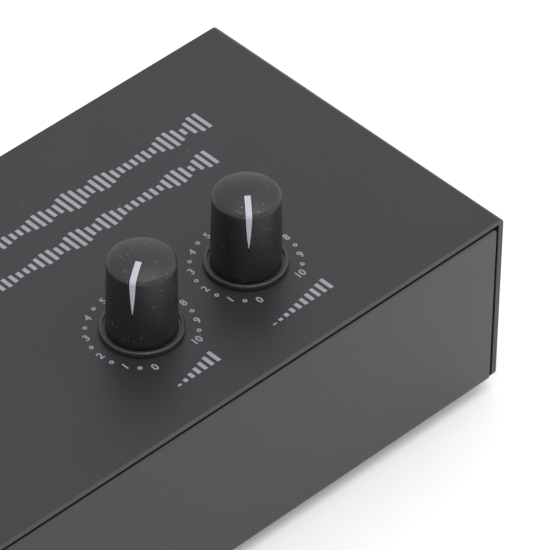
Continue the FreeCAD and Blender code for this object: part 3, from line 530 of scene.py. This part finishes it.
# %% Geometry helper
class Grower:
    """Geometry Nodes tree with named inputs, used once on an empty mesh."""

    def __init__(self, name, inputs):
        self.name = name
        self.values = inputs
        self.tree = bpy.data.node_groups.new(name, "GeometryNodeTree")
        self.tree.interface.new_socket("Geometry", in_out="OUTPUT", socket_type="NodeSocketGeometry")
        for label, value in inputs.items():
            kind = "NodeSocketInt" if isinstance(value, int) else "NodeSocketFloat"
            self.tree.interface.new_socket(label, in_out="INPUT", socket_type=kind)
        self.source = self.tree.nodes.new("NodeGroupInput")

    def __getitem__(self, label):
        return self.source.outputs[label]

    def add(self, kind, sockets=None, **settings):
        """Any node: its settings are set first, then the values or links of its sockets."""
        made = self.tree.nodes.new(kind)
        for name, value in settings.items():
            setattr(made, name, value)
        for name, value in (sockets or {}).items():
            if isinstance(value, bpy.types.NodeSocket):
                self.tree.links.new(value, made.inputs[name])
            else:
                made.inputs[name].default_value = value
        return made.outputs[0]

    def maths(self, operation, first, second=0.0):
        return self.add("ShaderNodeMath", {0: first, 1: second}, operation=operation)

    def mesh(self, geometry, material):
        """Mesh that the tree gives for its inputs."""
        real = self.add("GeometryNodeRealizeInstances", {"Geometry": geometry})
        painted = self.add("GeometryNodeSetMaterial", {"Geometry": real, "Material": material})
        sink = self.tree.nodes.new("NodeGroupOutput")
        self.tree.links.new(painted, sink.inputs[0])
        thing = bpy.data.objects.new(self.name, bpy.data.meshes.new(self.name))
        bpy.context.scene.collection.objects.link(thing)
        modifier = thing.modifiers.new(self.name, "NODES")
        modifier.node_group = self.tree
        for item in self.tree.interface.items_tree:
            if item.in_out == "INPUT":
                modifier[item.identifier] = self.values[item.name]
        return evaluated_mesh(thing)


print("geometry helper ready")

# %% [markdown]
# ## Dial rings
# Between two numbers stands a small printed ring. Ten of them lie on the circle, so a line of points is
# bent to the circle by the points' own index, and a ring of ink is copied to each.

# %% Dial rings
RING_RADIUS = 0.30 * MM
RING_LINE = 0.30 * MM
RING_SIDES = 20
FIRST_RING_ANGLE = FIRST_ANGLE + STEP_ANGLE / 2


def dial_rings(name, centre):
    """Ten small rings, halfway between the numbers."""
    grow = Grower(name, {"Count": LAST_NUMBER, "Radius": DIAL_RADIUS,
                         "First": math.radians(FIRST_RING_ANGLE), "Step": math.radians(STEP_ANGLE),
                         "Ring": RING_RADIUS, "Width": RING_LINE, "Thickness": INK_THICKNESS})
    line = grow.add("GeometryNodeMeshLine", {"Count": grow["Count"]})
    index = grow.add("GeometryNodeInputIndex")
    angle = grow.maths("ADD", grow.maths("MULTIPLY", index, grow["Step"]), grow["First"])
    x = grow.maths("MULTIPLY", grow.maths("SINE", angle), grow["Radius"])
    y = grow.maths("MULTIPLY", grow.maths("COSINE", angle), grow["Radius"])
    flip_x = grow.maths("MULTIPLY", x, -1.0)
    flip_y = grow.maths("MULTIPLY", y, -1.0)
    spot = grow.add("ShaderNodeCombineXYZ", {"X": flip_x, "Y": flip_y})
    bent = grow.add("GeometryNodeSetPosition", {"Geometry": line, "Position": spot})
    circle = grow.add("GeometryNodeCurvePrimitiveCircle",
                      {"Resolution": RING_SIDES, "Radius": grow["Ring"]})
    band = grow.add("GeometryNodeCurvePrimitiveQuadrilateral",
                    {"Width": grow["Width"], "Height": grow["Thickness"]})
    ring = grow.add("GeometryNodeCurveToMesh", {"Curve": circle, "Profile Curve": band})
    copies = grow.add("GeometryNodeInstanceOnPoints", {"Points": bent, "Instance": ring})
    mesh = grow.mesh(copies, ink)
    mesh.transform(Matrix.Translation(centre + Vector((0, 0, INK_THICKNESS / 2))))
    settle(name, mesh, "chassis")


dial_rings("level_dial_rings", level)
dial_rings("volume_dial_rings", volume)

# %% [markdown]
# ## Bars behind and in front of the dials
# The rest of the print is rows of plain bars. Behind the dials are two rows whose heights rise and fall
# like a sound wave, and in front of each dial is a row that rises, the usual sign for more. A formula on
# the bar's index sets its height: a fast sine, swelled by a slow cosine, or a straight ramp.

# %% Bars that rise and fall
BAR_PITCH = 1.55 * MM
BAR_WIDTH = BAR_PITCH * 0.52
FAST_SWING = 0.61
SLOW_SWING = 0.17
LEAST_SHARE = 0.32


def wave_share(grow, index):
    """Height of each bar of a wave, as a share of the tallest."""
    fast = grow.maths("SINE", grow.maths("MULTIPLY", index, grow["Fast"]))
    slow = grow.maths("COSINE", grow.maths("MULTIPLY", index, grow["Slow"]))
    swing = grow.maths("ABSOLUTE", grow.maths("MULTIPLY", fast, slow))
    return grow.maths("ADD", grow.maths("MULTIPLY", swing, 1 - LEAST_SHARE), LEAST_SHARE)


def ramp_share(grow, index):
    """Height of each bar of a ramp, as a share of the tallest."""
    return grow.maths("DIVIDE", grow.maths("ADD", index, 1.0), grow["Count"])


def bar_row(name, start, end, y, tallest, ramp=False):
    """Row of upright bars between two places along X: a wave about y, or a ramp on one base line."""
    count = int((end - start) / BAR_PITCH) + 1
    grow = Grower(name, {"Count": count, "Pitch": BAR_PITCH, "Tallest": tallest, "Width": BAR_WIDTH,
                         "Thickness": INK_THICKNESS, "Fast": FAST_SWING, "Slow": SLOW_SWING})
    line = grow.add("GeometryNodeMeshLine", {"Count": grow["Count"]})
    index = grow.add("GeometryNodeInputIndex")
    share = ramp_share(grow, index) if ramp else wave_share(grow, index)
    tall = grow.maths("MULTIPLY", share, grow["Tallest"])
    place = {"X": grow.maths("MULTIPLY", index, grow["Pitch"])}
    if ramp:
        place["Y"] = grow.maths("MULTIPLY", grow.maths("SUBTRACT", tall, grow["Tallest"]), 0.5)
    spot = grow.add("ShaderNodeCombineXYZ", place)
    spread = grow.add("GeometryNodeSetPosition", {"Geometry": line, "Position": spot})
    size = grow.add("ShaderNodeCombineXYZ", {"X": grow["Width"], "Y": tall, "Z": grow["Thickness"]})
    cube = grow.add("GeometryNodeMeshCube", {"Size": (1.0, 1.0, 1.0)})
    copies = grow.add("GeometryNodeInstanceOnPoints", {"Points": spread, "Instance": cube, "Scale": size})
    mesh = grow.mesh(copies, ink)
    mesh.transform(Matrix.Translation(Vector((start, y, top_z + INK_THICKNESS / 2))))
    settle(name, mesh, "chassis")


bar_row("wave_bars_back", start=level.x - 14 * MM, end=level.x + 46.5 * MM, y=level.y + 33.6 * MM,
        tallest=5.2 * MM)
bar_row("wave_bars_front", start=level.x - 20 * MM, end=level.x + 41.0 * MM, y=level.y + 25.2 * MM,
        tallest=4.6 * MM)
bar_row("level_ramp", start=level.x - 5.0 * MM, end=level.x + 4.8 * MM, y=level.y - 13.7 * MM,
        tallest=3.0 * MM, ramp=True)
bar_row("volume_ramp", start=volume.x - 7.4 * MM, end=volume.x + 7.4 * MM, y=volume.y - 13.7 * MM,
        tallest=3.0 * MM, ramp=True)

# %% [markdown]
# ## Threads
# The frame's stud and nose are plain cylinders. A thread is one long spiral ridge, so a spiral curve gets
# a small round section, nearly all of which lies in the metal. On the stud its crest stands just over the
# rod and clears the nut's bore, and on the nose of the large jack it stays just inside the metal.

# %% Threads
STUD_RADIUS = 1.95 * MM
STUD_CREST = STUD_RADIUS + 0.03 * MM
STUD_PITCH = 0.7 * MM
STUD_BARE_END = 0.45 * MM
NOSE_CREST_INSIDE = 0.03 * MM
NOSE_PITCH = 0.35 * MM
NOSE_BARE_END = 0.2 * MM
RIDGE_SHARE = 0.3
TURN_STEPS = 24
RIDGE_SIDES = 6


def thread(name, start, crest, length, pitch, material):
    """Spiral ridge round +Y from a start on its axis, up to a crest radius."""
    ridge_radius = pitch * RIDGE_SHARE
    grow = Grower(name, {"Turns": length / pitch, "Radius": crest - ridge_radius, "Length": length,
                         "Ridge": ridge_radius})
    spiral = grow.add("GeometryNodeCurveSpiral",
                      {"Resolution": TURN_STEPS, "Rotations": grow["Turns"], "Start Radius": grow["Radius"],
                       "End Radius": grow["Radius"], "Height": grow["Length"]})
    section = grow.add("GeometryNodeCurvePrimitiveCircle",
                       {"Resolution": RIDGE_SIDES, "Radius": grow["Ridge"]})
    ridge = grow.add("GeometryNodeCurveToMesh",
                     {"Curve": spiral, "Profile Curve": section, "Fill Caps": True})
    mesh = grow.mesh(ridge, material)
    mesh.transform(Matrix.Translation(start) @ Matrix.Rotation(math.radians(-90), 4, "X"))
    settle(name, mesh, "chassis")


def on_axis(low, high, y):
    """Point at a place along Y on the axis of a turned piece, from the corners of its box."""
    return Vector(((low.x + high.x) / 2, y, (low.z + high.z) / 2))


stud_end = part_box("ground_stud")[1].y
nut_low, nut_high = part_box("ground_thumb_nut")
thread("stud_thread", on_axis(nut_low, nut_high, nut_high.y), STUD_CREST,
       stud_end - nut_high.y - STUD_BARE_END, STUD_PITCH, tin)
hex_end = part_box("phone_jack_nut")[1].y
nose_low, nose_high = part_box("phone_jack_bushing")
nose_radius = (nose_high.x - nose_low.x) / 2
thread("nose_thread", on_axis(nose_low, nose_high, hex_end), nose_radius - NOSE_CREST_INSIDE,
       nose_high.y - hex_end - NOSE_BARE_END, NOSE_PITCH, nickel)

# %% [markdown]
# ## Floor and light
# The photograph is a studio shot on white, with soft light from all round and a floor so bright that it
# has no edge. A large pale floor and a pale world do this. The floor also glows a little by itself,
# which brings it up to white.

# %% Floor, world and light helpers
FLOOR_HALF_SIDE = 3.0
FLOOR_PATCH = 400.0
FLOOR_DARK = rgb(0.93, 0.93, 0.93)
FLOOR_LIGHT = rgb(0.95, 0.95, 0.95)
FLOOR_ROUGH = 0.9
FLOOR_GLOW = 0.12
WORLD_WHITE = rgb(1.0, 1.0, 1.0)
WORLD_STRENGTH = 0.9


def make_floor():
    """Pale floor under the feet."""
    mesh = bpy.data.meshes.new("floor")
    work = bmesh.new()
    bmesh.ops.create_grid(work, x_segments=1, y_segments=1, size=FLOOR_HALF_SIDE)
    work.to_mesh(mesh)
    work.free()
    paint = Paint("floor_white")
    white = paint.blend(paint.noise(FLOOR_PATCH), FLOOR_DARK, FLOOR_LIGHT)
    paint.surface(Base_Color=white, Roughness=FLOOR_ROUGH, Emission_Color=white,
                  Emission_Strength=FLOOR_GLOW)
    mesh.materials.append(paint.material)
    floor = bpy.data.objects.new("floor", mesh)
    bpy.context.scene.collection.objects.link(floor)


def make_world():
    """Even pale surroundings."""
    world = bpy.data.worlds.new("studio")
    world.use_nodes = True
    background = world.node_tree.nodes["Background"]
    background.inputs["Color"].default_value = WORLD_WHITE
    background.inputs["Strength"].default_value = WORLD_STRENGTH
    bpy.context.scene.world = world


def area_light(name, azimuth, elevation, distance, size, power, aim):
    """Square soft light on a sphere round the aim, facing it."""
    data = bpy.data.lights.new(name, "AREA")
    data.size = size
    data.energy = power
    light = bpy.data.objects.new(name, data)
    bpy.context.scene.collection.objects.link(light)
    flat = math.cos(math.radians(elevation))
    turn = math.radians(azimuth)
    away = Vector((math.sin(turn) * flat, -math.cos(turn) * flat, math.sin(math.radians(elevation))))
    light.location = aim + away * distance
    light.rotation_euler = away.to_track_quat("Z", "Y").to_euler()


print("studio helpers ready")

# %% [markdown]
# ## Light the box
# Two area lights shape it: a weak one from the front right for its front panel, and a broad one from
# above for its top face. The Standard view keeps white at white, where a filmic one would grey it.

# %% Set up the studio
middle = (cad_box[0] + cad_box[1]) / 2
make_floor()
make_world()
area_light("front_light", azimuth=64, elevation=34, distance=0.55, size=0.35, power=0.2, aim=middle)
area_light("top_light", azimuth=20, elevation=76, distance=1.3, size=0.8, power=5.0, aim=middle)
bpy.context.scene.view_settings.view_transform = "Standard"
print("lights ready")
